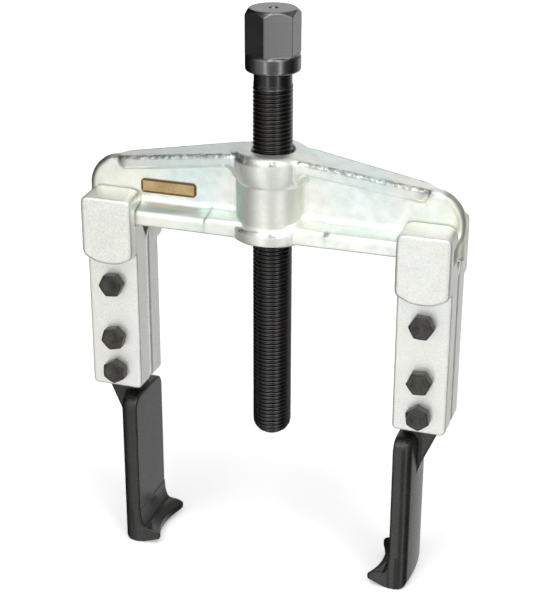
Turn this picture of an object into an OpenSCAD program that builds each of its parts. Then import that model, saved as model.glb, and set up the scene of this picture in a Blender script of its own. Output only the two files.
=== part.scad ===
// Two-arm gear puller with slim hooks.
// Units are millimetres, +Z is up and +X runs along the crossbeam.
// The origin is on the spindle axis, in the plane of the undersides of the hooks.
// The bolt heads face -Y and the nuts face +Y.

/* [Crossbeam] */
// Overall length of the crossbeam
beam_len = 138.6; // [134:0.2:150]
// Height of the bottom flange underside above the hooks' underside
beam_base = 131.2; // [125:0.2:140]
// Half width of the bottom flange that the legs slide on
flange_half = 10; // [9.6:0.1:10.2]
// Height of the bottom flange at its outer edge
flange_edge = 5; // [4.5:0.1:5.2]
// Height of the bottom flange where it meets the web
flange_root = 7.9; // [7.2:0.1:8.1]
// Web thickness
web_t = 6; // [5:0.2:7]
// Height of the ridge at the boss above the bottom flange underside
boss_rise = 31.2; // [30:0.1:32.5]
// Fall of the top flange from the boss to its ends
top_fall = 8.1; // [6:0.1:10]
// Thickness of the top flange
top_t = 4.8; // [4:0.1:6]
// Half width of the top flange beside the boss
top_half_in = 9; // [8:0.1:10]
// Half width of the top flange at its ends
top_half_out = 4.6; // [4:0.1:6]
// Radius of the boss barrel
boss_r = 12.3; // [11.5:0.1:13]
// Radius of the upper boss collar
collar_top_r = 14; // [13:0.1:14.2]
// Height of the upper boss collar
collar_top_h = 10.8; // [9:0.1:11]
// Radius of the lower boss collar
collar_low_r = 14.3; // [13.4:0.1:15]
// Half length of the wide stretch of the bottom flange, where an inward sliding leg stops
step_x = 22.3; // [20:0.1:23]

/* [Spindle] */
// Crest diameter of the spindle thread
spindle_d = 14; // [13:0.1:14.4]
// Radial running clearance of the spindle in the boss
spindle_play = 0.05; // [0.02:0.01:0.1]
// Height of the spindle tip above the hooks' underside, legs at rest
tip_z = 51.6; // [45:0.2:70]
// Length from the tip to the collar under the hexagon
thread_len = 138.4; // [130:0.2:150]
// Width across the flats of the drive hexagon
hex_af = 17; // [16:0.5:19]
// Height of the drive hexagon
hex_h = 15.4; // [12:0.2:18]
// Radius of the collar under the hexagon
head_collar_r = 9.6; // [9:0.1:11]
// Height of the collar under the hexagon
head_collar_h = 6; // [4:0.2:7]
// Radius of the thrust ball in the tip
ball_r = 3; // [2.6:0.1:3.2]

/* [Legs] */
// Distance from the spindle axis to the middle of each leg
leg_x = 58; // [54:0.2:59]
// Width of the leg plates
plate_w = 19.3; // [18:0.1:20]
// Distance from the middle plane to the outer face of a leg plate
plate_half = 10; // [9.8:0.1:10.4]
// Gap between the two plates of one leg
plate_gap = 0.5; // [0.3:0.1:1]
// Height of the plate bottoms above the hooks' underside
plate_low = 65.7; // [64:0.1:67]
// How far the plate heads stand proud of the plates
head_proud = 5; // [4.6:0.1:5.4]
// Height of the lower edge of the plate heads
head_low = 116.6; // [115.6:0.1:118]
// Running gap between the leg plates and the crossbeam
slide_gap = 0.3; // [0.2:0.05:0.4]

/* [Bolts] */
// Height of the top bolt of each leg
bolt_top_z = 107.5; // [106:0.1:108]
// Height of the middle bolt of each leg
bolt_mid_z = 86.2; // [85.5:0.1:87]
// Height of the low bolt of each leg
bolt_low_z = 72.6; // [72:0.1:73.5]
// Thread diameter of the leg bolts
bolt_d = 5; // [4:0.5:5]
// Width across the flats of the bolt heads and nuts
bolt_af = 8; // [7:0.5:10]
// Height of the bolt heads
bolt_head_h = 3.5; // [3:0.1:4.2]
// Height of the nuts
nut_h = 4; // [3.2:0.1:4.6]

/* [Hooks] */
// Distance from the spindle axis to the inner face of each hook
hook_in = 49.6; // [49:0.1:50.5]
// Distance from the spindle axis to the tips of the claw
claw_tip = 41.7; // [41:0.1:43]
// Thickness of the hook blade at its edges
blade_t = 6.3; // [5.5:0.1:6.4]
// Half width of the hook blade and claw
blade_half = 12.9; // [11:0.1:13.1]
// Height of the top of the hook blade
blade_top = 62.1; // [60:0.1:63]
// Height of the gripping face of the claw
claw_top = 6.2; // [5.6:0.1:7]
// Height of the underside of the claw at its tips
claw_rise = 2.5; // [1.5:0.1:3]
// Thickness of the tongue between the leg plates
tongue_t = 8; // [7:0.1:8.4]
// Height of the top of the tongue
tongue_top = 95.5; // [93:0.1:96]

/* [Hidden] */
$fn = 72;
eps = 0.01;
zinc = [0.80, 0.82, 0.80];
black = [0.13, 0.12, 0.12];
bright = [0.62, 0.62, 0.60];
beam_half = beam_len / 2;
beam_top = beam_base + boss_rise;
top_end_x = 57.5;
ridge_x = 5;
flange_x = 12;
end_r = 10;
top_slope = top_fall / (top_end_x - ridge_x);
top_tilt = atan(top_slope);
flange_corner = 6;
spindle_r = spindle_d / 2;
bore_r = spindle_r + spindle_play;
sink_depth = 1.4;
collar_z = tip_z + thread_len;
hex_z = collar_z + head_collar_h;
head_top = hex_z + hex_h;
ball_z = tip_z + ball_r;
tip_face = tip_z + 1.4;
head_y = plate_half + head_proud;
web_half = web_t / 2;
step_y = flange_half + 0.6;
lip_y = web_half + 0.5;
bolt_hole_r = bolt_d / 2 + 0.2;
tongue_in = hook_in + 2.1;
tongue_out = leg_x + 7.2;
crown_sag = 1.2;
crown_r = (blade_half * blade_half + crown_sag * crown_sag) / (2 * crown_sag);

// Points of an arc in a plane, from angle a0 to angle a1
function arc(cx, cy, r, a0, a1, n) =
  [for (i = [0:n]) [cx + r * cos(a0 + (a1 - a0) * i / n), cy + r * sin(a0 + (a1 - a0) * i / n)]];

// Extrudes a profile drawn in X and Z between two Y positions
module along_y(y0, y1) {
  translate([0, y1, 0])
    rotate([90, 0, 0])
      linear_extrude(height = y1 - y0)
        children();
}

// Extrudes a profile drawn in Y and Z between two X positions
module along_x(x0, x1) {
  translate([x0, 0, 0])
    rotate([90, 0, 90])
      linear_extrude(height = x1 - x0)
        children();
}

// A cylinder along Y between two Y positions
module rod_y(r, y0, y1) {
  translate([0, y1, 0])
    rotate([90, 0, 0])
      cylinder(r = r, h = y1 - y0);
}

// Hexagonal prism with one end chamfered by a cone, base at zero
module hex_head(af, h, chamfer) {
  intersection() {
    cylinder(r = af / sqrt(3), h = h, $fn = 6);
    union() {
      translate([0, 0, -eps])
        cylinder(r = af, h = h - chamfer + eps);
      translate([0, 0, h - chamfer])
        cylinder(r1 = af / sqrt(3) + 0.02, r2 = af * 0.47, h = chamfer);
    }
  }
}

// Outline of the whole crossbeam seen from the front: ridge, slopes and rounded ends
module beam_outline() {
  cx = beam_half - end_r;
  cz = beam_top - (cx - ridge_x) * top_slope - end_r / cos(top_tilt);
  along_y(-20, 20)
    polygon(concat(
      [[-beam_half, beam_base - 2], [beam_half, beam_base - 2]],
      arc(cx, cz, end_r, 0, 90 - top_tilt, 8),
      [[ridge_x, beam_top], [-ridge_x, beam_top]],
      arc(-cx, cz, end_r, 90 + top_tilt, 180, 8)
    ));
}

// Top flange, sloping from the ridge and narrowing towards its ends
module top_flange() {
  low_in = beam_top - top_t;
  low_end = low_in - top_fall;
  high = beam_top + 5;
  intersection() {
    along_y(-12, 12)
      polygon([
        [-top_end_x, low_end], [-ridge_x, low_in], [ridge_x, low_in], [top_end_x, low_end],
        [top_end_x, high], [-top_end_x, high]
      ]);
    translate([0, 0, low_end - 5])
      linear_extrude(height = 60)
        polygon([
          [-top_end_x, 1.5 - top_half_out], [-top_end_x + 1.5, -top_half_out],
          [-flange_x, -top_half_in], [flange_x, -top_half_in],
          [top_end_x - 1.5, -top_half_out], [top_end_x, 1.5 - top_half_out],
          [top_end_x, top_half_out - 1.5], [top_end_x - 1.5, top_half_out],
          [flange_x, top_half_in], [-flange_x, top_half_in],
          [-top_end_x + 1.5, top_half_out], [-top_end_x, top_half_out - 1.5]
        ]);
  }
}

// Bottom flange with sloped shoulders and round corners, plus the wide stretch under the boss
module bottom_flange() {
  z0 = beam_base;
  cx = beam_half - flange_corner;
  cy = flange_half - flange_corner;
  intersection() {
    along_x(-beam_half - 1, beam_half + 1)
      polygon([
        [-flange_half, z0], [flange_half, z0], [flange_half, z0 + flange_edge],
        [web_half, z0 + flange_root], [-web_half, z0 + flange_root], [-flange_half, z0 + flange_edge]
      ]);
    translate([0, 0, z0 - 1])
      linear_extrude(height = flange_root + 2)
        polygon(concat(
          arc(cx, cy, flange_corner, 0, 90, 6), arc(-cx, cy, flange_corner, 90, 180, 6),
          arc(-cx, -cy, flange_corner, 180, 270, 6), arc(cx, -cy, flange_corner, 270, 360, 6)
        ));
  }
  along_x(-step_x, step_x)
    polygon([
      [-step_y, z0], [step_y, z0], [step_y, z0 + 5.3], [step_y - 0.9, z0 + 6.2], [web_half, z0 + 8.5],
      [-web_half, z0 + 8.5], [0.9 - step_y, z0 + 6.2], [-step_y, z0 + 5.3]
    ]);
}

// Boss around the spindle, one turned profile
module boss() {
  z0 = beam_base - 0.8;
  z1 = beam_top - collar_top_h;
  rotate_extrude()
    polygon([
      [5, z0], [collar_low_r - 0.6, z0], [collar_low_r, z0 + 0.6], [collar_low_r, z0 + 4.8],
      [boss_r, z0 + 5.8], [boss_r, z1 - 0.3], [boss_r + 0.4, z1],
      [collar_top_r, z1 + 4.6], [collar_top_r, beam_top + 2], [5, beam_top + 2]
    ]);
}

module crossbeam() {
  color(zinc)
    difference() {
      intersection() {
        union() {
          // web
          translate([-beam_half - 1, -web_half, beam_base + 1])
            cube([beam_len + 2, web_t, boss_rise + 2]);
          top_flange();
          bottom_flange();
          boss();
        }
        beam_outline();
      }
      translate([0, 0, beam_base - 5])
        cylinder(r = bore_r, h = boss_rise + 10);
      // countersink at the top and a small chamfer at the bottom
      translate([0, 0, beam_top - sink_depth])
        cylinder(r1 = bore_r, r2 = bore_r + sink_depth + 0.5, h = sink_depth + 0.5);
      translate([0, 0, beam_base - 0.8 - eps])
        cylinder(r1 = bore_r + 0.6, r2 = bore_r, h = 0.6);
    }
}

// Spindle: thread envelope, neck, collar and hexagon, with a socket for the thrust ball
module spindle() {
  r = spindle_r;
  color(black)
    difference() {
      union() {
        rotate_extrude()
          polygon([
            [0, tip_face], [3.6, tip_face], [4.9, tip_face + 0.6], [6, tip_face + 1.7],
            [r, tip_face + 3.6], [r, collar_z - 5.4], [r - 0.4, collar_z - 5],
            [r - 0.4, collar_z - 0.6], [r + 0.4, collar_z], [head_collar_r - 1.2, collar_z],
            [head_collar_r, collar_z + 1.2], [head_collar_r, hex_z - 0.6],
            [head_collar_r - 0.5, hex_z], [0, hex_z]
          ]);
        translate([0, 0, hex_z])
          rotate([0, 0, 30])
            hex_head(hex_af, hex_h, 1.8);
      }
      translate([0, 0, ball_z])
        sphere(r = ball_r + 0.05);
      translate([0, 0, head_top - 2.4])
        cylinder(r1 = 0.4, r2 = 1.6, h = 2.4 + eps);
    }
}

module thrust_ball() {
  color(bright)
    translate([0, 0, ball_z])
      sphere(r = ball_r);
}

// Shape of a leg plate head seen from the front, with rounded corners and a bowed lower edge
module head_outline() {
  w = plate_w / 2;
  c = 2.5;
  z1 = beam_base + 10.8;
  polygon(concat(
    arc(w - c, head_low + 1.6 + c, c, -70, 0, 6),
    arc(w - c, z1 + 1.6 - c, c, 0, 90, 6),
    arc(c - w, z1 + 1.6 - c, c, 90, 180, 6),
    arc(c - w, head_low + 1.6 + c, c, 180, 250, 6),
    [[-4, head_low + 0.3], [0, head_low], [4, head_low + 0.3]]
  ));
}

// Section of the front plate: blade, head, and the groove around the bottom flange
module plate_section() {
  g = slide_gap;
  z0 = beam_base;
  yi = -plate_gap / 2;
  polygon([
    [yi, plate_low], [0.6 - plate_half, plate_low], [-plate_half, plate_low + 0.6],
    [-plate_half, head_low - 3], [-head_y, head_low - 3],
    [-head_y, z0 + 9.8], [0.9 - head_y, z0 + 10.8], [-lip_y, z0 + 12.1],
    [-lip_y, z0 + flange_root + g], [-flange_half - g, z0 + flange_edge + g + 0.05],
    [-flange_half - g, z0 - g], [-4.6, z0 - g], [yi, z0 - 8.8]
  ]);
}

// Front plate of the right leg, centred on X = 0
module plate_front() {
  w = plate_w / 2;
  difference() {
    intersection() {
      along_x(-w, w)
        plate_section();
      union() {
        along_y(-head_y - 1, 1)
          head_outline();
        translate([-w, -plate_half, plate_low])
          cube([plate_w, plate_half, beam_base - plate_low - 2]);
      }
    }
    // recess for the hook tongue
    translate([-6.7, -tongue_t / 2 - 0.25, plate_low - 1])
      cube([14.3, tongue_t, tongue_top + 1.5 - plate_low]);
    for (z = [bolt_low_z, bolt_mid_z, bolt_top_z])
      translate([0, 0, z])
        rod_y(bolt_hole_r, -20, 1);
    // small radii at the bottom corners
    for (s = [-1, 1])
      translate([s * w, 0, plate_low])
        rotate([0, 45, 0])
          cube([1.2, 60, 1.2], center = true);
  }
}

module front_plate(side) {
  color(zinc)
    translate([side * leg_x, 0, 0])
      mirror([side < 0 ? 1 : 0, 0, 0])
        plate_front();
}

module back_plate(side) {
  color(zinc)
    translate([side * leg_x, 0, 0])
      mirror([side < 0 ? 1 : 0, 0, 0])
        mirror([0, 1, 0])
          plate_front();
}

// Side profile of the claw, drawn in X and Z
module claw_profile() {
  polygon([
    [hook_in + 3, 0], [hook_in - 1, 0.1], [claw_tip + 0.4, claw_rise], [claw_tip, claw_rise + 0.4],
    [claw_tip, claw_top - 0.3], [claw_tip + 0.3, claw_top], [hook_in - 2.2, claw_top],
    [hook_in - 1.5, claw_top + 0.7], [hook_in - 0.9, claw_top + 2.1],
    [hook_in - 0.35, claw_top + 4.4], [hook_in, claw_top + 7.4], [hook_in + 3, claw_top + 7.4]
  ]);
}

// Right hook
module hook_solid() {
  c = 4.5;
  b = blade_half;
  z1 = blade_top;
  difference() {
    union() {
      // blade with a crowned outer face and rounded shoulders
      intersection() {
        along_x(hook_in, hook_in + 12)
          polygon(concat(
            [[-b, 1], [1 - b, 0], [b - 1, 0], [b, 1]],
            arc(b - c, z1 - c, c, 0, 90, 6),
            arc(c - b, z1 - c, c, 90, 180, 6)
          ));
        translate([hook_in + blade_t + crown_sag - crown_r, 0, -1])
          cylinder(r = crown_r, h = z1 + 2, $fn = 144);
      }
      // rib and tongue
      along_y(-tongue_t / 2, tongue_t / 2)
        polygon([
          [hook_in + blade_t - 1, 44.5], [hook_in + blade_t + 0.6, 45.8],
          [tongue_out - 0.6, 65], [tongue_out, 66.5], [tongue_out, tongue_top - 2],
          [tongue_out - 2, tongue_top], [tongue_in + 2, tongue_top],
          [tongue_in, tongue_top - 2], [tongue_in, 44.5]
        ]);
      along_y(-b, b)
        claw_profile();
    }
    // concave front of the claw, and the bevel above it
    translate([claw_tip + 3 - 23, 0, -1])
      cylinder(r = 23, h = claw_top, $fn = 144);
    translate([claw_tip + 3 - 23, 0, claw_top - 1.6])
      cylinder(r1 = 23, r2 = 25.4, h = 1.6, $fn = 144);
    translate([claw_tip + 3 - 23, 0, claw_top - eps])
      cylinder(r = 25.4, h = 1, $fn = 144);
    for (z = [bolt_low_z, bolt_mid_z])
      translate([leg_x, 0, z])
        rod_y(bolt_hole_r, -20, 20);
  }
}

module hook(side) {
  color(black)
    mirror([side < 0 ? 1 : 0, 0, 0])
      hook_solid();
}

// Hexagon bolt through one leg, head at the front
module bolt(side, z, turn) {
  color(black)
    translate([side * leg_x, -plate_half, z])
      rotate([90, 0, 0])
        union() {
          rotate([0, 0, turn])
            hex_head(bolt_af, bolt_head_h, 1);
          translate([0, 0, -2 * plate_half - nut_h])
            cylinder(d = bolt_d, h = 2 * plate_half + nut_h + 0.5);
        }
}

// Hexagon nut on the back plate
module nut(side, z, turn) {
  color(black)
    translate([side * leg_x, plate_half, z])
      rotate([-90, 0, 0])
        difference() {
          rotate([0, 0, turn])
            hex_head(bolt_af, nut_h, 0.8);
          translate([0, 0, -1])
            cylinder(d = bolt_d, h = nut_h + 2);
        }
}

crossbeam();
spindle();
thrust_ball();
front_plate(-1);  // left_front_plate
back_plate(-1);  // left_back_plate
hook(-1);  // left_hook
bolt(-1, bolt_top_z, 5);  // left_bolt_top
bolt(-1, bolt_mid_z, 14);  // left_bolt_mid
bolt(-1, bolt_low_z, 30);  // left_bolt_low
nut(-1, bolt_top_z, 14);  // left_nut_top
nut(-1, bolt_mid_z, 41);  // left_nut_mid
nut(-1, bolt_low_z, 5);  // left_nut_low
front_plate(1);  // right_front_plate
back_plate(1);  // right_back_plate
hook(1);  // right_hook
bolt(1, bolt_top_z, 58);  // right_bolt_top
bolt(1, bolt_mid_z, 6);  // right_bolt_mid
bolt(1, bolt_low_z, 37);  // right_bolt_low
nut(1, bolt_top_z, 33);  // right_nut_top
nut(1, bolt_mid_z, 22);  // right_nut_mid
nut(1, bolt_low_z, 48);  // right_nut_low
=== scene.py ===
"""Looks for the two-arm gear puller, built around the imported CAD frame.

Shapes are written in millimetres in the row frame: +Z up, +X along the crossbeam, bolt heads at -Y.
Most pieces are described by distance fields, meshed with surface nets and pulled onto the exact surface.
"""

import math

import bpy
import numpy as np
from mathutils import Matrix, Vector


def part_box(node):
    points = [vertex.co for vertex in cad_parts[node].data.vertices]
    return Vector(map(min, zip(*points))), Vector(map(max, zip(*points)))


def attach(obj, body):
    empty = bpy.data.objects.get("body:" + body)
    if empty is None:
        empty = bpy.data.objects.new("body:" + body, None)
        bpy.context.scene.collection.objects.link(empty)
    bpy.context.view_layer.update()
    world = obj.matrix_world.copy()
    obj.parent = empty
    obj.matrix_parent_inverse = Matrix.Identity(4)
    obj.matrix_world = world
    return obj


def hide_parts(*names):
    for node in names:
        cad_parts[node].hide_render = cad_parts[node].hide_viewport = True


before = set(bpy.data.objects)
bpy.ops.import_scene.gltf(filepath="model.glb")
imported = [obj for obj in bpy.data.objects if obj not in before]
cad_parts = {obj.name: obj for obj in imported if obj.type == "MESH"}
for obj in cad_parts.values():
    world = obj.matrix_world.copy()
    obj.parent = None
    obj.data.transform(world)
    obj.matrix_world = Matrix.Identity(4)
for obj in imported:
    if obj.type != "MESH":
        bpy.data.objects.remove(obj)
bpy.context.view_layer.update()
MM = 0.001
F = np.float32


def extent(node):
    """Lowest and highest corner of a CAD node's box, in millimetres."""
    return [[round(v / MM, 2) for v in corner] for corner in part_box(node)]


# ---------------------------------------------------------------- distance fields
def inter(a, b, r=0.0):
    """Both shapes, with the edge where they meet rounded to radius r."""
    if r <= 0:
        return np.maximum(a, b)
    u = np.maximum(r + a, 0)
    v = np.maximum(r + b, 0)
    return np.minimum(-r, np.maximum(a, b)) + np.sqrt(u * u + v * v)


def union(a, b, r=0.0):
    """Either shape, with a fillet of radius r in the corner between them."""
    if r <= 0:
        return np.minimum(a, b)
    u = np.maximum(r - a, 0)
    v = np.maximum(r - b, 0)
    return np.maximum(r, np.minimum(a, b)) - np.sqrt(u * u + v * v)


def cut(a, b, r=0.0):
    """The first shape without the second."""
    return inter(a, -b, r)


def soft_max(a, b, k):
    """The larger of two, eased over a stretch of k where they are nearly the same."""
    h = np.maximum(k - np.abs(a - b), 0)
    return np.maximum(a, b) + h * h / (4 * k)


def slab(t, lo, hi):
    """The space between two parallel planes."""
    return np.abs(t - (lo + hi) / 2) - (hi - lo) / 2


def poly(u, v, pts):
    """Signed distance to a polygon, negative inside."""
    best = None
    inside = None
    n = len(pts)
    for i in range(n):
        ax, ay = pts[i]
        bx, by = pts[(i + 1) % n]
        ex, ey = bx - ax, by - ay
        if ex * ex + ey * ey < 1e-9:
            continue
        wx, wy = u - ax, v - ay
        t = np.clip((wx * ex + wy * ey) / (ex * ex + ey * ey), 0, 1)
        dx, dy = wx - ex * t, wy - ey * t
        d = dx * dx + dy * dy
        c = ((ay <= v) & (by > v)) | ((by <= v) & (ay > v))
        if ey != 0:
            c = c & (u < ax + (v - ay) * ex / ey)
        else:
            c = c & False
        best = d if best is None else np.minimum(best, d)
        inside = c if inside is None else inside ^ c
    d = np.sqrt(best)
    return np.where(inside, -d, d)


def arc(cx, cy, r, a0, a1, n=8):
    """Points along an arc from a0 to a1 degrees, both ends included."""
    turns = [math.radians(a0 + (a1 - a0) * i / n) for i in range(n + 1)]
    return [(cx + r * math.cos(a), cy + r * math.sin(a)) for a in turns]


def prism6(u, v, af, turn=0.0):
    """Hexagon across flats af, with a vertex at turn degrees."""
    d = None
    for k in range(3):
        a = math.radians(turn + 30 + 60 * k)
        e = np.abs(u * math.cos(a) + v * math.sin(a)) - af / 2
        d = e if d is None else np.maximum(d, e)
    return d


# ---------------------------------------------------------------- meshing
EDGES = [
    (0, 1), (2, 3), (4, 5), (6, 7),
    (0, 2), (1, 3), (4, 6), (5, 7),
    (0, 4), (1, 5), (2, 6), (3, 7),
]
CORNER = np.array([[i >> 2 & 1, i >> 1 & 1, i & 1] for i in range(8)], F)


def net(field, lo, hi, step, polish=3):
    """Surface nets of a field inside a box: vertices and quads."""
    lo = np.array(lo, float) - 1.5 * step
    hi = np.array(hi, float) + 1.5 * step
    n = np.ceil((hi - lo) / step).astype(int) + 1
    ax = [(lo[i] + step * np.arange(n[i])).astype(F) for i in range(3)]
    g = field(ax[0][:, None, None], ax[1][None, :, None], ax[2][None, None, :])
    g = np.broadcast_to(g, tuple(n)).astype(F)
    s = g < 0
    a, b = slice(None, -1), slice(1, None)
    corners = [(x, y, z) for x in (a, b) for y in (a, b) for z in (a, b)]
    count = sum(s[c].astype(np.int8) for c in corners)
    active = (count > 0) & (count < 8)
    ids = np.full(active.shape, -1, np.int64)
    m = int(active.sum())
    ids[active] = np.arange(m)
    vals = np.stack([g[c][active] for c in corners], 1)
    acc = np.zeros((m, 3), F)
    num = np.zeros(m, F)
    for p, q in EDGES:
        vp, vq = vals[:, p], vals[:, q]
        hit = (vp < 0) != (vq < 0)
        t = np.where(hit, vp / np.where(hit, vp - vq, 1), 0)
        acc += np.where(hit[:, None], CORNER[p] + (CORNER[q] - CORNER[p]) * t[:, None], 0)
        num += hit
    cell = np.stack(np.nonzero(active), 1)
    pts = lo + step * (cell + acc / num[:, None])
    quads = []
    for k in range(3):
        i, j = (k + 1) % 3, (k + 2) % 3
        first = [slice(1, -1)] * 3
        first[k] = slice(None, -1)
        second = list(first)
        second[k] = slice(1, None)
        s0, s1 = s[tuple(first)], s[tuple(second)]
        flip = s0 != s1
        at = np.stack(np.nonzero(flip), 1)
        up = s0[flip]
        base = at.copy()
        base[:, i] += 1
        base[:, j] += 1

        def cell_id(di, dj):
            c = base.copy()
            c[:, i] -= di
            c[:, j] -= dj
            return ids[c[:, 0], c[:, 1], c[:, 2]]

        q = np.stack([cell_id(1, 1), cell_id(0, 1), cell_id(0, 0), cell_id(1, 0)], 1)
        quads.append(np.where(up[:, None], q, q[:, ::-1]))
    quads = np.concatenate(quads)
    h = 0.2 * step
    for _ in range(polish):
        x, y, z = pts.T
        f = field(x, y, z)
        gr = np.stack([
            field(x + h, y, z) - field(x - h, y, z),
            field(x, y + h, z) - field(x, y - h, z),
            field(x, y, z + h) - field(x, y, z - h),
        ], 1) / (2 * h)
        move = gr * (f / np.maximum((gr * gr).sum(1), 0.25))[:, None]
        size = np.linalg.norm(move, axis=1)
        move *= np.minimum(1, 0.5 * step / np.maximum(size, 1e-9))[:, None]
        pts = pts - move
    return pts, quads


def to_mesh(name, pts, faces):
    """Smooth mesh from arrays of points and of faces with equal numbers of corners."""
    me = bpy.data.meshes.new(name)
    pts = np.asarray(pts, float) * MM
    me.vertices.add(len(pts))
    me.vertices.foreach_set("co", pts.ravel())
    faces = np.asarray(faces)
    k = faces.shape[1]
    me.loops.add(faces.size)
    me.loops.foreach_set("vertex_index", faces.ravel())
    me.polygons.add(len(faces))
    me.polygons.foreach_set("loop_start", np.arange(0, faces.size, k))
    me.polygons.foreach_set("loop_total", np.full(len(faces), k))
    me.update(calc_edges=True)
    me.validate()
    me.polygons.foreach_set("use_smooth", np.ones(len(me.polygons), bool))
    return me


def piece(name, me, body, nodes, material):
    """An object that rides on a body and stands for some CAD nodes, or adds to them."""
    o = bpy.data.objects.new(name, me)
    bpy.context.scene.collection.objects.link(o)
    me.materials.clear()
    me.materials.append(material)
    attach(o, body)
    if nodes:
        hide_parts(*nodes)


def flipped(pts, faces, sx=1, sy=1, dx=0.0):
    """A mirrored and shifted copy."""
    p = np.array(pts) * [sx, sy, 1] + [dx, 0, 0]
    return p, (faces[:, ::-1] if sx * sy < 0 else faces)


# ---------------------------------------------------------------- sizes of the crossbeam
BEAM_LOW, BEAM_HIGH = extent("crossbeam")
HALF = BEAM_HIGH[0]
TOP = BEAM_HIGH[2]
BOSS_Z = BEAM_LOW[2]
BASE = BOSS_Z + 0.8
# Half width of the bottom flange, and of the top flange up to where its taper begins
FLANGE = 10
TOP_FLANGE = 9
TAPER_FROM = 12
TAPER = 0.0967
# Half width of the flat ridge, and the fall of the roof beyond it
RIDGE = 5.0
FALL = 8.1 / 52.5
# Radius of the roof's corner at each end, half length of the wide stretch, radii of the boss
END_R = 10
BLOCK = 22.3
BARREL = 12.3
LOW_COLLAR = 13.4
BORE = 7.12

# Blank nameplate: centre, half width, half height, and width of its rim
PLATE_X, PLATE_Z = -38.05, 144.4
PLATE_W, PLATE_H = 10.5, 2.6
PLATE_RIM = 0.65


# ---------------------------------------------------------------- materials
class Nodes:
    """Short forms for building a node tree."""

    def __init__(self, tree, coords="Object"):
        self.t = tree
        self.obj = tree.nodes.new("ShaderNodeTexCoord").outputs[coords]
        sep = tree.nodes.new("ShaderNodeSeparateXYZ")
        tree.links.new(self.obj, sep.inputs[0])
        self.x, self.y, self.z = sep.outputs

    def put(self, socket, value):
        if isinstance(value, bpy.types.NodeSocket):
            self.t.links.new(value, socket)
        else:
            socket.default_value = value

    def math(self, op, a, b=0.0, c=None):
        n = self.t.nodes.new("ShaderNodeMath")
        n.operation = op
        self.put(n.inputs[0], a)
        self.put(n.inputs[1], b)
        if c is not None:
            self.put(n.inputs[2], c)
        return n.outputs[0]

    def size(self, v):
        return self.math("ABSOLUTE", v)

    def sub(self, a, b):
        return self.math("SUBTRACT", a, b)

    def mul(self, *factors):
        out = factors[0]
        for f in factors[1:]:
            out = self.math("MULTIPLY", out, f)
        return out

    def hypot(self, a, b):
        return self.math("SQRT", self.math("ADD", self.mul(a, a), self.mul(b, b)))

    def scaled(self, sx, sy, sz, shift=(0, 0, 0)):
        n = self.t.nodes.new("ShaderNodeMapping")
        self.put(n.inputs["Vector"], self.obj)
        n.inputs["Scale"].default_value = (sx, sy, sz)
        n.inputs["Location"].default_value = shift
        return n.outputs[0]

    def noise(self, scale, detail=2.0, rough=0.5, vec=None, distort=0.0):
        n = self.t.nodes.new("ShaderNodeTexNoise")
        self.put(n.inputs["Vector"], vec or self.obj)
        n.inputs["Scale"].default_value = scale
        n.inputs["Detail"].default_value = detail
        n.inputs["Roughness"].default_value = rough
        n.inputs["Distortion"].default_value = distort
        return n.outputs[0]

    def voronoi(self, scale):
        n = self.t.nodes.new("ShaderNodeTexVoronoi")
        self.put(n.inputs["Vector"], self.obj)
        n.inputs["Scale"].default_value = scale
        return n.outputs[0]

    def ramp(self, v, stops):
        """A grey level that follows (position, level) stops."""
        n = self.t.nodes.new("ShaderNodeValToRGB")
        n.color_ramp.interpolation = "EASE"
        while len(n.color_ramp.elements) < len(stops):
            n.color_ramp.elements.new(0.5)
        for e, (at, level) in zip(n.color_ramp.elements, stops):
            e.position = at
            e.color = (level, level, level, 1)
        self.put(n.inputs[0], v)
        return n.outputs[0]

    def span(self, v, a, b, lo=0.0, hi=1.0, smooth=False):
        """v mapped from a..b to lo..hi, clamped."""
        n = self.t.nodes.new("ShaderNodeMapRange")
        n.interpolation_type = "SMOOTHSTEP" if smooth else "LINEAR"
        self.put(n.inputs["Value"], v)
        n.inputs["From Min"].default_value = a
        n.inputs["From Max"].default_value = b
        n.inputs["To Min"].default_value = lo
        n.inputs["To Max"].default_value = hi
        return n.outputs["Result"]

    def fall(self, v, a, b, smooth=False):
        """1 below a, down to 0 at b."""
        return self.span(v, a, b, 1.0, 0.0, smooth)

    def window(self, v, a, b, c, d):
        """Up from a to b, down from c to d."""
        return self.mul(self.span(v, a, b), self.fall(v, c, d))

    def near(self, v, at, inner, outer, smooth=False):
        """1 within inner of a value, down to 0 at outer from it."""
        return self.fall(self.size(self.sub(v, at)), inner, outer, smooth)

    def mix(self, f, a, b):
        n = self.t.nodes.new("ShaderNodeMix")
        n.data_type = "RGBA"
        self.put(n.inputs["Factor"], f)
        self.put(n.inputs[6], self.rgba(a))
        self.put(n.inputs[7], self.rgba(b))
        return n.outputs[2]

    @staticmethod
    def rgba(c):
        return (*c, 1.0) if isinstance(c, tuple) and len(c) == 3 else c

    def bump(self, height, strength, distance, normal=None):
        n = self.t.nodes.new("ShaderNodeBump")
        n.inputs["Strength"].default_value = strength
        n.inputs["Distance"].default_value = distance
        self.put(n.inputs["Height"], height)
        if normal is not None:
            self.put(n.inputs["Normal"], normal)
        return n.outputs[0]


class Surface(Nodes):
    """A material around one principled shader."""

    def __init__(self, name):
        self.m = bpy.data.materials.new(name)
        self.m.use_nodes = True
        super().__init__(self.m.node_tree)
        self.bsdf = next(n for n in self.t.nodes if n.type == "BSDF_PRINCIPLED")

    def surface(self, color=None, rough=None, normal=None, metallic=None, **consts):
        if color is not None:
            self.put(self.bsdf.inputs["Base Color"], self.rgba(color))
        if rough is not None:
            self.put(self.bsdf.inputs["Roughness"], rough)
        if metallic is not None:
            self.put(self.bsdf.inputs["Metallic"], metallic)
        if normal is not None:
            self.put(self.bsdf.inputs["Normal"], normal)
        for k, v in consts.items():
            self.bsdf.inputs[k.replace("_", " ")].default_value = v
        return self.m


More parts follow.
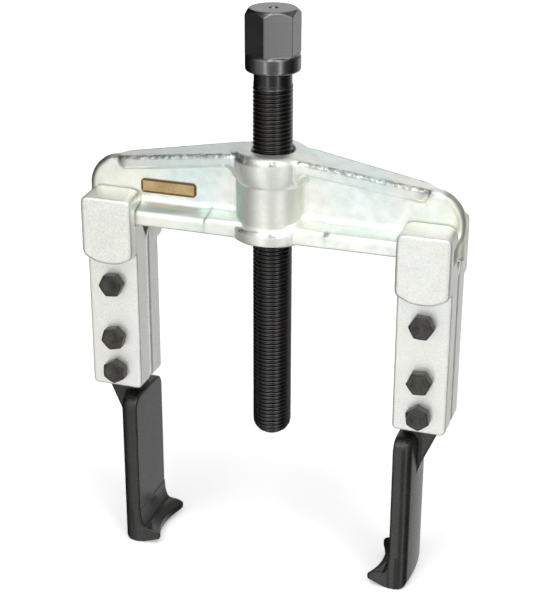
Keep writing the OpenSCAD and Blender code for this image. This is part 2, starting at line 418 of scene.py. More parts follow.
def srgb(*levels):
    """Linear colour from 0 to 255 display levels."""
    return tuple((c / 255) / 12.92 if c <= 10 else ((c / 255 + 0.055) / 1.055) ** 2.4 for c in levels)


def zinc_blasted():
    """Zinc plating over a blasted, finely pitted surface."""
    t = Surface("zinc_blasted")
    tint = t.noise(28, 2, 0.5)
    grain = t.noise(1700, 3, 0.65)
    pits = t.voronoi(1100)
    cloud = t.noise(160, 3, 0.55)
    c = t.mix(t.span(tint, 0.35, 0.65, smooth=True), srgb(238, 243, 238), srgb(243, 244, 230))
    c = t.mix(t.span(grain, 0.35, 0.65), t.mix(0.35, c, srgb(214, 216, 210)), srgb(252, 252, 248))
    c = t.mix(t.span(pits, 0.0, 0.25, 0.3, 0.0), c, srgb(160, 162, 156))
    c = t.mix(t.span(cloud, 0.3, 0.7, 0.0, 0.14), c, srgb(206, 209, 202))
    n = t.bump(grain, 0.55, 0.00016)
    n = t.bump(pits, 0.35, 0.00012, n)
    n = t.bump(cloud, 0.25, 0.0006, n)
    r = t.span(grain, 0.3, 0.7, 0.38, 0.5)
    return t.surface(c, r, n, 0.85)


class BeamPlaces:
    """Where a point is on the crossbeam, in millimetres and degrees."""

    def __init__(self, t):
        self.x = t.mul(t.x, 1000)
        self.z = t.mul(t.z, 1000)
        self.ax = t.size(self.x)
        self.ay = t.size(t.mul(t.y, 1000))
        self.rho = t.hypot(self.ax, self.ay)
        self.turn = t.math("DEGREES", t.math("ARCTAN2", t.x, t.mul(t.y, -1)))
        ridge = t.sub(TOP, t.mul(t.sub(self.ax, RIDGE), FALL))
        self.depth = t.sub(ridge, self.z)


def flash_line(t, at):
    """Mask of the trimmed flash along the upper edges of the top flange."""
    half = t.sub(TOP_FLANGE + TAPER_FROM * TAPER, t.mul(at.ax, TAPER))
    inset = t.sub(half, at.ay)
    return t.mul(t.fall(inset, 1.4, 2.4), t.fall(at.depth, 0.8, 1.6), t.span(at.ax, 12.0, 16.0))


def painted_rim_reflections_and_step_shade(t, at, c):
    """Painted dark reflections on the rims of the boss collars, stronger on the left, and painted shade at
    one corner of the wide stretch.
    """
    blotch = t.noise(380, 3, 0.7)
    rim = t.mul(t.window(at.rho, 11.8, 12.4, 14.5, 14.8), t.span(at.ay, 4.6, 6.0))
    rim = t.mul(rim, t.span(blotch, 0.32, 0.54))
    # painted dark reflections along the upper and lower collar rims, placed by azimuth and broken up by
    # noise
    for lo, hi, fade, level, z, reach in (
        (-84, 6, 34, 0.80, 160.7, 1.7), (12, 25, 5, 0.75, 160.8, 1.1),
        (-90, 2, 34, 0.80, 134.9, 1.0), (11, 25, 5, 0.65, 134.9, 0.8)
    ):
        stretch = t.window(at.turn, lo, lo + fade * 0.4, hi - fade, hi)
        band = t.near(at.z, z, reach * 0.4, reach, smooth=True)
        c = t.mix(t.mul(stretch, band, rim, level), c, srgb(88, 90, 90))
    # painted shade in the corner where the wide stretch steps down to the flange
    corner = t.mul(t.near(at.x, BLOCK + 0.3, 0.5, 1.5), t.near(at.z, 136.3, 0.4, 1.0))
    corner = t.mul(corner, t.span(at.ay, 8.0, 9.0))
    return t.mix(t.mul(corner, 0.75), c, srgb(92, 94, 92))


def bluish_streak_by_left_leg(t, at, c):
    """Darker bluish streak along the corner of the bottom flange beside the left leg."""
    run = t.fall(at.x, -47, -23)
    line = t.math("MULTIPLY_ADD", run, -0.6, 137.6)
    spread = t.math("MULTIPLY_ADD", run, 1.25, 0.12)
    off = t.math("DIVIDE", t.size(t.sub(at.z, line)), spread)
    there = t.mul(t.fall(off, 0.2, 1.0, smooth=True), t.span(run, 0.0, 0.5))
    return t.mix(t.mul(there, 0.65), c, srgb(172, 194, 198))


def painted_end_shade_and_reflections(t, at, scale, c):
    """Painted dark reflection round the rounded corners of the beam's ends, and painted shade in the corner
    where the top flange ends.
    """
    # painted dark reflection on the rounded rim round the corners of the ends
    across = t.math("MAXIMUM", t.sub(at.ax, HALF - END_R), 0.0)
    rise = t.math("MAXIMUM", t.sub(at.z, 143.9), 0.0)
    rim = t.fall(t.sub(END_R, t.hypot(across, rise)), 1.2, 3.0, smooth=True)
    rim = t.mul(rim, t.span(at.z, 140.0, 146.0), t.span(across, 1.0, 3.5))
    c = t.mix(t.mul(rim, t.span(scale, 0.3, 0.6, 0.45, 0.85)), c, srgb(106, 108, 107))
    # painted shadow and dark reflection where the top flange ends
    spot = t.mul(t.window(at.ax, 52.5, 56.0, 58.0, 60.5), t.span(at.ay, 2.6, 4.0))
    spot = t.mul(spot, t.fall(at.depth, 0.6, 2.6))
    c = t.mix(t.mul(spot, 0.7), c, srgb(96, 99, 98))
    # warmer end face beyond the right leg
    return t.mix(t.span(at.x, 60, 66, 0.0, 0.6), c, srgb(244, 242, 222))


def barrel_shade(t, at, c):
    """Greenish shade down the left side of the barrel."""
    left = t.mul(t.span(at.turn, -130, -100), t.fall(at.turn, -60, -14, smooth=True))
    shade = t.mul(t.fall(at.rho, 12.6, 13.2), left)
    shade = t.mul(shade, t.span(at.z, 136.0, 137.0), t.span(at.z, 150.8, 151.3, 0.75, 0.0))
    return t.mix(shade, c, srgb(186, 218, 206))


def zinc_forged():
    """Zinc plating over forged scale, with the marks of forging, and with painted shade and dark reflections
    on the boss and at the beam's ends.
    """
    t = Surface("zinc_forged")
    at = BeamPlaces(t)
    tint = t.noise(24, 2, 0.5, distort=0.4)
    tint2 = t.noise(31, 2, 0.5, vec=t.scaled(1, 1, 1, (3.1, 1.7, 0.4)))
    grain = t.noise(1500, 3, 0.6)
    scale = t.noise(240, 4, 0.6)
    wave = t.noise(70, 2, 0.5)
    speck = t.noise(520, 4, 0.75)
    c = t.mix(t.span(tint, 0.36, 0.64, smooth=True), srgb(230, 240, 237), srgb(240, 240, 229))
    c = t.mix(t.span(tint2, 0.52, 0.7, 0, 0.5, smooth=True), c, srgb(212, 234, 232))
    c = t.mix(t.span(grain, 0.35, 0.75, 0, 0.5), c, srgb(246, 248, 244))
    c = t.mix(t.span(scale, 0.42, 0.7, 0.0, 0.25), c, srgb(196, 202, 196))
    flash = flash_line(t, at)
    c = t.mix(t.mul(flash, t.span(speck, 0.42, 0.56), 0.7), c, srgb(104, 106, 104))
    c = painted_rim_reflections_and_step_shade(t, at, c)
    c = bluish_streak_by_left_leg(t, at, c)
    c = painted_end_shade_and_reflections(t, at, scale, c)
    c = barrel_shade(t, at, c)
    n = t.bump(grain, 0.22, 0.0001)
    n = t.bump(scale, 0.22, 0.0004, n)
    n = t.bump(wave, 0.25, 0.0012, n)
    n = t.bump(t.mul(flash, speck), 0.7, 0.0008, n)
    # the boss is turned, with fine rings
    boss = t.fall(at.rho, 14.6, 15.4)
    rings = t.noise(1.0, 2, 0.6, vec=t.scaled(25, 25, 1300))
    n = t.bump(t.mul(rings, boss), 0.3, 0.00012, n)
    r = t.math("MULTIPLY_ADD", boss, 0.06, t.span(scale, 0.3, 0.7, 0.33, 0.45))
    return t.surface(c, r, n, 0.88)


def oxide(name, dark, light, rough, grain_scale, bump=0.2, lines=False, ior=2.1, mottle=0.0):
    """Black oxide, with blotches where mottle is set and turned streaks where lines is set."""
    t = Surface(name)
    grain = t.noise(grain_scale, 3, 0.6)
    cloud = t.noise(90, 3, 0.5)
    c = t.mix(t.span(cloud, 0.35, 0.7, smooth=True), dark, light)
    c = t.mix(t.span(grain, 0.5, 0.8, 0, 0.3), c, tuple(min(1, v * 1.8) for v in light))
    n = t.bump(grain, bump, 0.00008)
    if mottle:
        spots = t.noise(650, 3, 0.65)
        c = t.mix(t.span(spots, 0.45, 0.62, 0, mottle), c, tuple(v * 0.35 for v in dark))
        n = t.bump(spots, 0.1 + mottle * 0.6, 0.00006 + mottle * 0.0002, n)
    if lines:
        streak = t.noise(1.0, 2, 0.6, vec=t.scaled(40, 40, 1500))
        n = t.bump(streak, 0.6, 0.00012, n)
        c = t.mix(t.span(streak, 0.45, 0.7, 0, 0.5), c, tuple(v * 4 for v in light))
    r = t.span(grain, 0.3, 0.7, rough - 0.04, rough + 0.06)
    return t.surface(c, r, n, 0.0, IOR=ior)


def steel():
    """Ground steel with faint scratches."""
    t = Surface("steel_ground")
    scratch = t.noise(1.0, 3, 0.6, vec=t.scaled(900, 900, 900))
    c = t.mix(scratch, srgb(150, 148, 144), srgb(190, 188, 184))
    return t.surface(c, t.span(scratch, 0.3, 0.7, 0.16, 0.3), t.bump(scratch, 0.08, 0.00005), 1.0)


def bronze():
    """Pale brass field inside a dark bronze rim."""
    t = Surface("plate_bronze")
    g = t.noise(1200, 3, 0.6)
    cloud = t.noise(150, 2, 0.5)
    u = t.size(t.math("MULTIPLY_ADD", t.x, 1000, -PLATE_X))
    v = t.size(t.math("MULTIPLY_ADD", t.z, 1000, -PLATE_Z))
    rim = t.math("MAXIMUM", t.sub(u, PLATE_W - PLATE_RIM), t.sub(v, PLATE_H - PLATE_RIM))
    field = t.mix(t.span(g, 0.3, 0.7), srgb(176, 150, 104), srgb(198, 174, 130))
    field = t.mix(t.span(cloud, 0.35, 0.7, 0.0, 0.5), field, srgb(150, 120, 76))
    c = t.mix(t.span(rim, -0.15, 0.05), field, srgb(98, 72, 38))
    return t.surface(c, t.span(g, 0.3, 0.7, 0.38, 0.5), t.bump(g, 0.15, 0.00006), 0.4)


ZINC = zinc_blasted()
BEAM = zinc_forged()
THREAD = oxide("oxide_thread", srgb(9, 7, 6), srgb(17, 13, 11), 0.16, 1800, 0.06, ior=1.65)
HEAD = oxide("oxide_head", srgb(8, 8, 7), srgb(12, 12, 11), 0.17, 2200, 0.05, lines=True, ior=2.4)
HOOK = oxide("oxide_forging", srgb(22, 22, 20), srgb(31, 30, 27), 0.28, 1300, 0.06, ior=1.5, mottle=0.1)
BOLT = oxide("oxide_bolt", srgb(27, 22, 17), srgb(40, 32, 25), 0.26, 1800, 0.25, ior=1.55, mottle=0.8)
STEEL = steel()
BRONZE = bronze()


# ---------------------------------------------------------------- crossbeam
def beam_field(x, y, z):
    ax, ay = np.abs(x), np.abs(y)
    rho = np.sqrt(x * x + y * y)
    slope = ((z - TOP) + (ax - RIDGE) * FALL) * math.cos(math.atan(FALL))
    roof = soft_max(z - TOP, slope, 0.5)
    # bottom flange, and the wide stretch under the boss
    shoulder = ((z - BASE - 5) * 7 + (ay - FLANGE) * 2.9) / math.hypot(7, 2.9)
    low = inter(inter(ay - FLANGE, ax - HALF, 6), shoulder, 1.6)
    shoulder = ((z - BASE - 5.7) * 6.7 + (ay - 9.9) * 2.3) / math.hypot(6.7, 2.3)
    block = inter(inter(ay - FLANGE - 0.07, ax - BLOCK, 0.3), shoulder, 1.4)
    low = inter(union(low, block, 0.2), BASE - z, 0.8)
    # web and boss
    body = union(ay - 3, low, 1.8)
    edge = arc(LOW_COLLAR, BOSS_Z + 0.9, 0.9, -90, 0, 4) + arc(BARREL, BOSS_Z + 3.4, 2.0, 0, 80, 5)
    barrel = poly(rho, z, (
        [(-3, BOSS_Z), (LOW_COLLAR, BOSS_Z)] + edge + [(BARREL, BOSS_Z + 6.3), (BARREL, 158), (-3, 158)]
    ))
    body = union(body, barrel, 0.6)
    # top flange, thinning out at its ends, its underside sweeping down to the upper collar
    end = np.clip((ax - 52.5) / 5, 0, 1)
    half = TOP_FLANGE - (np.maximum(ax, TAPER_FROM) - TAPER_FROM) * TAPER - 1.1 * end * end
    sweep = np.clip((17.3 - rho) / 3.3, 0, 1)
    drop = 3.3 * (1 - np.sqrt(1 - sweep * sweep * 0.998))
    under = (-roof - 4.8 - drop - 0.12 * (half - ay)) * 0.993
    under = np.where(drop > 0, under * 0.75, under)
    flange = inter(inter(ax - 57.5, under, 4.0), (ay - half) * 0.97, 1.5)
    collar = poly(rho, z, [
        (-3, 151.3), (12.6, 151.3), (13.0, 151.7), (13.4, 153.0),
        (13.8, 155.0), (14.0, 157.0), (14.0, 168), (-3, 168)
    ])
    body = union(body, union(flange, collar, 0.5), 0.5)
    # rounded edges along the top, fuller on the collar and at the beam's ends
    outline = inter(roof, ax - HALF, END_R)
    fuller = np.clip(15.0 - rho, 0, 1) + np.clip((ax - 56.5) / 3, 0, 1)
    body = inter(body, outline, 1.7) * (1 - fuller) + inter(body, outline, 2.8) * fuller
    # bore, countersunk at both ends
    sink = (rho - (8.45 - (TOP - z))) * math.sqrt(0.5)
    flare = (rho - (7.5 - (z - BOSS_Z))) * math.sqrt(0.5)
    hole = np.minimum(np.minimum(rho - BORE, sink), flare)
    return cut(body, hole, 0.15)


def build_beam():
    pts, quads = net(beam_field, (-HALF, -14.4, BOSS_Z - 0.2), (HALF, 14.4, TOP), 0.45)
    me = to_mesh("crossbeam", pts, quads)
    piece("crossbeam_forging", me, "crossbeam", ["crossbeam"], BEAM)


def nameplate_field(x, y, z):
    """A plain blank plate with a raised rim, on the front of the web."""
    u, v = np.abs(x - PLATE_X), np.abs(z - PLATE_Z)
    plate = inter(inter(u - PLATE_W, v - PLATE_H, 1.4), slab(y, -3.6, -2.8), 0.15)
    inner = inter(inter(u - PLATE_W + PLATE_RIM, v - PLATE_H + PLATE_RIM, 1.0), y + 3.35, 0.05)
    return cut(plate, inner, 0.05)


def build_nameplate():
    lo = (PLATE_X - PLATE_W - 0.05, -3.6, PLATE_Z - PLATE_H - 0.1)
    hi = (PLATE_X + PLATE_W + 0.05, -2.8, PLATE_Z + PLATE_H + 0.1)
    pts, quads = net(nameplate_field, lo, hi, 0.15)
    me = to_mesh("nameplate", pts, quads)
    piece("blank_nameplate", me, "crossbeam", [], BRONZE)


# ---------------------------------------------------------------- leg plates
PLATE_LOW, PLATE_HIGH = extent("right_back_plate")
LEG_X = round((PLATE_LOW[0] + PLATE_HIGH[0]) / 2, 2)
LEG_HALF = round((PLATE_HIGH[0] - PLATE_LOW[0]) / 2, 2)
LEG_LOW = PLATE_LOW[2]
PLATE_OUT = PLATE_HIGH[1]
# Outer face of the blade, its half gap to the other plate, and the ends of the stepped head
BLADE_OUT = 10
HALF_GAP = 0.25
HEAD_TOP = 143.1
HEAD_LOW = 118.2
SIDES = (("left", -1), ("right", 1))
BOLT_PLACES = ("top", "mid", "low")


def bolt_height(place):
    low, high = extent(f"right_bolt_{place}")
    return round((low[2] + high[2]) / 2, 1)


BOLT_Z = [bolt_height(place) for place in BOLT_PLACES]


def plate_field(x, y, z):
    """Front plate of a leg, centred on x = 0."""
    face = inter(np.abs(x) - LEG_HALF, slab(z, LEG_LOW, 134.0), 1.8)
    blade = inter(inter(face, -BLADE_OUT - y, 0.7), y + HALF_GAP, 1.7)
    # head, with rounded corners and a bowed lower edge
    low, top = LEG_HALF - 3.2, LEG_HALF - 4
    outline = poly(x, z, (
        arc(low, HEAD_LOW + 3.2, 3.2, -72, 0, 6) + arc(top, HEAD_TOP - 4, 4, 0, 90, 6) +
        arc(-top, HEAD_TOP - 4, 4, 90, 180, 6) + arc(-low, HEAD_LOW + 3.2, 3.2, 180, 252, 6) +
        [(-4.4, 117.0), (-2.2, 116.65), (0, 116.5), (2.2, 116.65), (4.4, 117.0)]
    ))
    section = poly(y, z, [
        (-PLATE_OUT, 112), (-PLATE_OUT, 140.9), (-14.8, 141.4), (-14.3, 141.75), (-3.5, 143.3), (-3.5, 112)
    ])
    body = union(blade, inter(outline, section, 1.4), 0.3)
    # room for the bottom flange, and for the hook's tongue
    groove = poly(y, z, [
        (-3.5, 139.35), (-10.3, 136.55), (-10.3, 130.9), (-4.6, 130.9),
        (0.4, 121.1), (9, 121.1), (9, 160), (-3.5, 160)
    ])
    body = cut(body, groove, 0.45)
    recess = inter(slab(x, -6.7, 7.6), inter(-4.25 - y, z - 97, 0.5), 0.5)
    body = cut(body, recess, 0.3)
    for bolt_z in BOLT_Z:
        body = cut(body, np.sqrt(x * x + (z - bolt_z) ** 2) - 2.7, 0.25)
    return body


def build_plates():
    lo, hi = (-LEG_HALF, -PLATE_OUT, LEG_LOW), (LEG_HALF, -0.2, HEAD_TOP + 0.3)
    pts, quads = net(plate_field, lo, hi, 0.4)
    for side, sx in SIDES:
        for face, sy in (("front", 1), ("back", -1)):
            p, q = flipped(pts, quads, sx, sy, LEG_X * sx)
            name = f"{side}_{face}_plate"
            me = to_mesh(name, p, q)
            piece(f"{side}_{face}_leg_plate", me, f"{side}_leg", [name], ZINC)


# ---------------------------------------------------------------- hooks
HOOK_LOW, HOOK_HIGH = extent("right_hook")
TIP = HOOK_LOW[0]
HOOK_HALF = HOOK_HIGH[1]
TONGUE_OUT = HOOK_HIGH[0]
TONGUE_TOP = HOOK_HIGH[2]
# Inner face of the blade, its top, its crown and its rounded shoulders
INNER = 49.6
BLADE_TOP = 62.1
CROWN_X = INNER + 7.5
CROWN_R = 69.9
SHOULDER = 4.8
TONGUE_IN = 51.7
RIB_Z = 44.5
SCOOP_R = 23


def hook_field(x, y, z):
    """Right hook: a crowned blade, a rib that becomes the tongue, and the claw."""
    corner_y, corner_z = HOOK_HALF - SHOULDER, BLADE_TOP - SHOULDER
    front = poly(y, z, (
        [(-HOOK_HALF, -6), (HOOK_HALF, -6)] + arc(corner_y, corner_z, SHOULDER, 0, 90) +
        arc(-corner_y, corner_z, SHOULDER, 90, 180)
    ))
    front = inter(front, -z, 0.8)
    crown = np.sqrt((x - (CROWN_X - CROWN_R)) ** 2 + y * y) - CROWN_R
    blade = inter(inter(front, INNER - x, 0.7), crown, 3.0)
    rib = poly(x, z, [
        (INNER + 5.3, RIB_Z), (INNER + 6.9, RIB_Z + 1.4), (TONGUE_OUT - 0.6, 65), (TONGUE_OUT, 66.5),
        (TONGUE_OUT, TONGUE_TOP - 2), (TONGUE_OUT - 2, TONGUE_TOP), (TONGUE_IN + 2, TONGUE_TOP),
        (TONGUE_IN, TONGUE_TOP - 2), (TONGUE_IN, RIB_Z)
    ])
    body = union(blade, inter(rib, np.abs(y) - 4, 0.5), 1.2)
    claw = poly(x, z, [
        (INNER + 3, 0), (INNER - 1, 0.1), (TIP + 0.9, 2.3), (TIP + 0.2, 2.7), (TIP, 3.4), (TIP, 5.0),
        (TIP + 0.3, 5.7), (TIP + 0.9, 6.0), (INNER - 2.2, 6.5), (INNER - 1.4, 7.2), (INNER - 0.8, 8.8),
        (INNER - 0.3, 11), (INNER, 13.8), (INNER + 3, 13.8)
    ])
    body = union(body, inter(claw, np.abs(y) - HOOK_HALF, 0.7), 0.6)
    # concave front of the claw, and the bevel above it
    rho = np.sqrt((x - (TIP + 3 - SCOOP_R)) ** 2 + y * y)
    bevel = (rho - (SCOOP_R + (z - 4.5) * 1.5)) / math.hypot(1, 1.5)
    bevel = inter(inter(bevel, rho - SCOOP_R - 2.6), z - 9)
    body = cut(body, inter(np.minimum(rho - SCOOP_R, bevel), z - 9), 0.4)
    return inter(body, -z)


def build_hooks():
    lo, hi = (TIP, -HOOK_HALF, 0), (TONGUE_OUT, HOOK_HALF, TONGUE_TOP)
    pts, quads = net(hook_field, lo, hi, 0.4)
    for side, sx in SIDES:
        p, q = flipped(pts, quads, sx)
        me = to_mesh(f"{side}_hook", p, q)
        piece(f"{side}_forged_hook", me, f"{side}_leg", [f"{side}_hook"], HOOK)


# ---------------------------------------------------------------- bolts and nuts
BOLT_AF = 8
HEAD_H = 3.5
NUT_H = 4.0
SHANK_R = 2.5
SHANK_LEN = 24.0
SHANK_END = 14.7


def hex_field(height, dish=0.0, hole=0.0):
    """Hexagon standing on z = 0, its corners turned off at both ends, with a dished top or a hole."""
    def field(x, y, z):
        rho = np.sqrt(x * x + y * y)
        six = inter(prism6(x, y, BOLT_AF), slab(z, 0, height), 0.12)
        six = inter(six, (rho - (BOLT_AF * 0.475 + (height - z) * 1.75)) * 0.496, 0.1)
        six = inter(six, (rho - (BOLT_AF * 0.50 + z * 1.2)) * 0.64, 0.05)
        if dish:
            bowl = np.sqrt(rho * rho + (z - height - 14) ** 2) - (14 + dish)
            six = cut(six, bowl, 0.15)
        if hole:
            six = cut(six, rho - hole, 0.2)
        return six
    return field


def to_y(pts, sign):
    """Local z turned to -Y (sign -1, heads) or +Y (sign 1, nuts)."""
    p = np.asarray(pts)
    if sign < 0:
        return np.stack([p[:, 0], -p[:, 2], p[:, 1]], 1)
    return np.stack([-p[:, 0], p[:, 2], p[:, 1]], 1)


def turned(pts, deg):
    """Points turned about local z."""
    a = math.radians(deg)
    c, s = math.cos(a), math.sin(a)
    p = np.array(pts)
    return np.stack([p[:, 0] * c - p[:, 1] * s, p[:, 0] * s + p[:, 1] * c, p[:, 2]], 1)


def lathe(profile, n=48):
    """Turned solid about local z from (r, z) pairs, closed where r is 0."""
    pts, faces = [], []
    rings = []
    for r, z in profile:
        if r <= 1e-6:
            rings.append([len(pts)] * n)
            pts.append((0, 0, z))
        else:
            rings.append(list(range(len(pts), len(pts) + n)))
            for i in range(n):
                a = 2 * math.pi * i / n
                pts.append((r * math.cos(a), r * math.sin(a), z))
    for a, b in zip(rings, rings[1:]):
        for i in range(n):
            j = (i + 1) % n
            f = [a[i], a[j], b[j], b[i]]
            f = [v for k, v in enumerate(f) if v != f[k - 1]]
            faces.append(f)
    return pts, faces


def join(parts):
    """Several (points, faces) as one list mesh."""
    pts, faces = [], []
    for p, f in parts:
        k = len(pts)
        pts += [tuple(map(float, v)) for v in p]
        faces += [[int(i) + k for i in q] for q in f]
    return pts, faces


def list_mesh(name, pts, faces):
    me = bpy.data.meshes.new(name)
    me.from_pydata([(x * MM, y * MM, z * MM) for x, y, z in pts], [], faces)
    me.validate()
    me.polygons.foreach_set("use_smooth", np.ones(len(me.polygons), bool))
    return me


# How far each head and nut happens to be turned, in degrees, from the top bolt to the lowest
HEAD_TURNS = {"left": (5, 14, 30), "right": (58, 6, 37)}
NUT_TURNS = {"left": (14, 41, 5), "right": (33, 22, 48)}


def build_bolts():
    reach = BOLT_AF / 2 + 0.7
    head, head_quads = net(hex_field(HEAD_H, dish=0.22), (-reach, -reach, 0), (reach, reach, HEAD_H), 0.14)
    nut, nut_quads = net(hex_field(NUT_H, hole=2.6), (-reach, -reach, 0), (reach, reach, NUT_H), 0.16)
    shank, shank_faces = lathe([
        (0, 0), (1.9, 0), (2.4, 0.5), (SHANK_R, 0.7), (SHANK_R, 4.0), (SHANK_R, SHANK_LEN), (0, SHANK_LEN)
    ])
    shank_faces = [f[::-1] for f in shank_faces]
    for side, sx in SIDES:
        for k, (place, z) in enumerate(zip(BOLT_PLACES, BOLT_Z)):
            on_head = to_y(turned(head, HEAD_TURNS[side][k]), -1) + [LEG_X * sx, -BLADE_OUT, z]
            along = np.array([(p[0], SHANK_END - p[2], p[1]) for p in shank]) + [LEG_X * sx, 0, z]
            pts, faces = join([(on_head, head_quads), (along, shank_faces)])
            me = list_mesh(f"{side}_bolt_{place}", pts, faces)
            piece(f"{side}_hex_bolt_{place}", me, f"{side}_leg",
                  [f"{side}_bolt_{place}"], BOLT)
            on_nut = to_y(turned(nut, NUT_TURNS[side][k]), 1) + [LEG_X * sx, BLADE_OUT, z]
            me = to_mesh(f"{side}_nut_{place}", on_nut, nut_quads)
            piece(f"{side}_hex_nut_{place}", me, f"{side}_leg",
                  [f"{side}_nut_{place}"], BOLT)


# ---------------------------------------------------------------- spindle
PITCH = 1.5
CREST = 7.0
THREAD_DEPTH = 0.80
TIP_Z = extent("thrust_ball")[0][2]
SPINDLE_TOP = extent("spindle")[1][2]
HEX_AF = 17
HEX_Z = SPINDLE_TOP - 15.4
COLLAR_Z = HEX_Z - 6
COLLAR_R = 9.6
# Height of the domed tip, and where the thread begins to run out under the collar
DOME = 6.2
RUN_OUT = 185.4
AROUND = 80
# Places along one turn of the thread where its profile has a point
PHASES = (-0.07, 0.07, 0.15, 0.24, 0.33, 0.42, 0.5, 0.58, 0.67, 0.76, 0.85)


def thread_depth(phase):
    """Depth below the crest for a phase in turns, crest at 0."""
    u = np.abs((phase + 0.5) % 1 - 0.5)
    return np.clip((u - 0.07) / (0.38 - 0.07), 0, 1) * THREAD_DEPTH


def dome(z):
    """Largest radius near the rounded tip."""
    t = 1 - np.clip(z - TIP_Z, 0, DOME) / DOME
    return CREST * np.sqrt(np.clip(1 - t ** 2.3, 0, 1))


def build_spindle():
    """Right-hand thread: rows follow the helix, and each ends where the row one turn on begins."""
    z0, z1 = TIP_Z + 0.9, COLLAR_Z
    turns = range(-1, int((z1 - z0) / PITCH) + 3)
    rows = np.array([k + p for k in turns for p in PHASES])
    theta = np.arange(AROUND) * 2 * math.pi / AROUND
    z = np.clip(z0 + PITCH * (rows[:, None] + theta[None, :] / (2 * math.pi)), z0, z1)
    fade = np.clip((RUN_OUT - z) / 1.6, 0, 1) * np.clip((z - (TIP_Z + 0.4)) / 4.0, 0.25, 1)
    neck = np.clip((z - RUN_OUT + 0.8) / 1.2, 0, 1) * 0.35
    r = np.minimum(CREST, dome(z)) - thread_depth(rows)[:, None] * fade - neck
    pts = np.stack([r * np.cos(theta), r * np.sin(theta), z], 2)
    ids = np.arange(pts.shape[0] * AROUND).reshape(-1, AROUND)
    beyond = np.concatenate([ids[:, 1:], np.roll(ids, -len(PHASES), axis=0)[:, :1]], 1)
    quads = np.stack([ids[:-1], beyond[:-1], beyond[1:], ids[1:]], 2)
    quads = quads[: len(rows) - 1 - len(PHASES)].reshape(-1, 4)
    me = to_mesh("thread", pts.reshape(-1, 3), quads)
    piece("spindle_thread", me, "spindle", ["spindle"], THREAD)


def head_field(x, y, z):
    """Hexagon with turned corners, the collar under it, and a centre hole in the top."""
    rho = np.sqrt(x * x + y * y)
    six = inter(prism6(x, y, HEX_AF, 30), slab(z, HEX_Z - 1.5, SPINDLE_TOP), 0.3)
    six = inter(six, (rho - (8.0 + (SPINDLE_TOP - z))) * math.sqrt(0.5), 0.2)
    six = inter(six, (rho - (9.75 + (z - HEX_Z) * 1.4)) / math.hypot(1, 1.4), 0.1)
    collar = inter(rho - COLLAR_R, slab(z, COLLAR_Z, HEX_Z), 1.1)
    hole = np.minimum((rho - (1.6 - (SPINDLE_TOP - z) * 0.5)) * 0.894, rho - 0.6)
    hole = inter(hole, SPINDLE_TOP - 3 - z)
    return cut(union(six, collar, 0.25), hole, 0.15)


def build_spindle_head():
    reach = COLLAR_R + 0.3
    pts, quads = net(head_field, (-reach, -reach, COLLAR_Z), (reach, reach, SPINDLE_TOP), 0.22)
    me = to_mesh("spindle_head", pts, quads)
    piece("spindle_hexagon", me, "spindle", [], HEAD)


def finish_ball():
    """The CAD ball keeps its shape and gets a ground finish."""
    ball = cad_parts["thrust_ball"]
    ball.data.materials.clear()
    ball.data.materials.append(STEEL)


# ---------------------------------------------------------------- stage
# Azimuth, elevation and roll of the camera in degrees, its target and its distance in metres
VIEW = (18.263, 23.423, 0.246)
TARGET = Vector((0.00176, 0, 0.10664))
DISTANCE = 0.5493


def camera():
    az, el, roll = (math.radians(v) for v in VIEW)
    back = Vector((math.sin(az) * math.cos(el), -math.cos(az) * math.cos(el), math.sin(el)))
    level = Vector((math.cos(az), math.sin(az), 0))
    upright = back.cross(level)
    right = level * math.cos(roll) + upright * math.sin(roll)
    up = upright * math.cos(roll) - level * math.sin(roll)
    cam = bpy.data.objects.new("camera", bpy.data.cameras.new("camera"))
    m = Matrix((right, up, back)).transposed().to_4x4()
    m.translation = TARGET + back * DISTANCE
    cam.matrix_world = m
    cam.data.lens = 92.60
    cam.data.sensor_width = 36
    cam.data.clip_start = 0.01
    cam.data.clip_end = 20
    bpy.context.scene.collection.objects.link(cam)
    bpy.context.scene.camera = cam


# Strength of the studio's light; the ramps hold levels as parts of it
SKY = 4.0


def around(*stops):
    """Ramp stops from (azimuth in degrees, level), azimuth 0 in front and 90 at +X."""
    return [((a + 180) / 360, level / SKY) for a, level in stops]


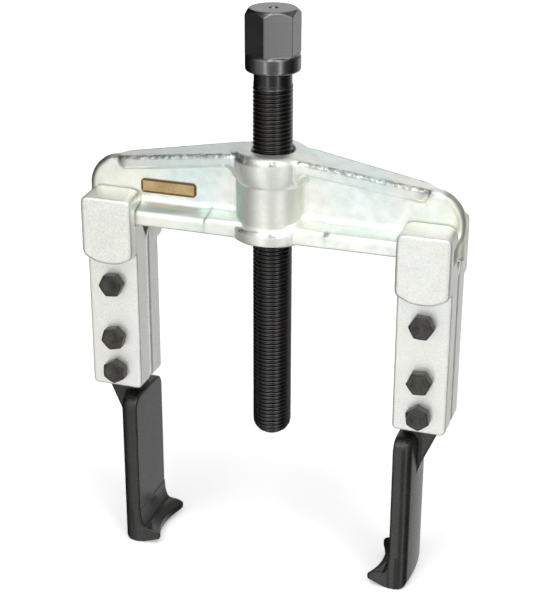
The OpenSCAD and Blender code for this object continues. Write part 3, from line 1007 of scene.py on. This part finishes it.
def studio():
    """A light tent seen by direction: two tall soft boxes in front, dim at the upper back."""
    world = bpy.data.worlds.new("studio")
    bpy.context.scene.world = world
    world.use_nodes = True
    t = Nodes(world.node_tree, "Generated")
    azimuth = t.math("ARCTAN2", t.x, t.mul(t.y, -1))
    turn = t.math("MULTIPLY_ADD", azimuth, 0.5 / math.pi, 0.5)
    below = t.ramp(turn, around(
        (-180, 0.76), (-168, 0.12), (-145, 0.0), (-100, 0.01), (-70, 0.12), (-45, 0.50),
        (-24, 0.72), (-13, 2.20), (-3, 0.60), (18, 0.40), (38, 0.60), (49, 2.20),
        (60, 0.40), (75, 0.12), (105, 0.04), (130, 0.25), (155, 0.76), (180, 0.76)
    ))
    level = t.ramp(turn, around(
        (-180, 1.00), (-155, 0.78), (-140, 0.02), (-85, 0.02), (-48, 0.7), (-20, 1.4), (0, 1.3),
        (20, 0.8), (47, 1.6), (68, 0.6), (85, 0.10), (125, 0.15), (158, 0.30), (180, 1.00)
    ))
    above = t.ramp(turn, around(
        (-180, 0.80), (-150, 0.60), (-120, 0.05), (-70, 0.2), (-35, 1.4), (-15, 3.4), (4, 3.4),
        (18, 1.4), (34, 1.6), (44, 3.4), (56, 3.4), (75, 1.0), (110, 0.3), (150, 0.60), (180, 0.80)
    ))
    upper = t.mix(t.span(t.z, 0.50, 0.68, smooth=True), level, above)
    light = t.mix(t.span(t.z, -0.06, 0.06, smooth=True), below, upper)
    bg = next(n for n in world.node_tree.nodes if n.type == "BACKGROUND")
    t.put(bg.inputs["Color"], light)
    bg.inputs["Strength"].default_value = SKY


def staged(name, pts, faces, material):
    """A part of the stage, which reflections don't see, so that the metal shows the studio."""
    me = bpy.data.meshes.new(name)
    me.from_pydata(pts, [], faces)
    me.materials.append(material)
    o = bpy.data.objects.new(name, me)
    bpy.context.scene.collection.objects.link(o)
    o.visible_glossy = False
    return o


def floor():
    t = Surface("floor_pale")
    white = t.mix(t.span(t.noise(6, 2, 0.5), 0.3, 0.7), srgb(250, 250, 250), srgb(248, 248, 248))
    pale = t.surface(white, 0.9, None, 0.0, Emission_Color=(1, 1, 1, 1), Emission_Strength=0.3)
    s = 20.0
    staged("floor", [(-s, -s, 0), (s, -s, 0), (s, s, 0), (-s, s, 0)], [(0, 1, 2, 3)], pale)


def wall():
    """Pale wall all round, seen by the camera only."""
    n, far, high = 96, 4.0, 4.0
    ring = [(far * math.cos(2 * math.pi * k / n), far * math.sin(2 * math.pi * k / n)) for k in range(n)]
    pts = [(x, y, z) for z in (0.0, high) for x, y in ring]
    faces = [(k, n + k, n + (k + 1) % n, (k + 1) % n) for k in range(n)]
    t = Surface("wall_pale")
    pale = t.surface(srgb(250, 250, 250), 0.9, None, 0.0, Emission_Color=(1, 1, 1, 1), Emission_Strength=0.9)
    o = staged("wall", pts, faces, pale)
    o.visible_diffuse = False
    o.visible_transmission = False
    o.visible_shadow = False


bpy.context.scene.view_settings.view_transform = "Standard"
camera()
studio()
floor()
wall()
build_beam()
build_nameplate()
build_plates()
build_hooks()
build_bolts()
build_spindle()
build_spindle_head()
finish_ball()
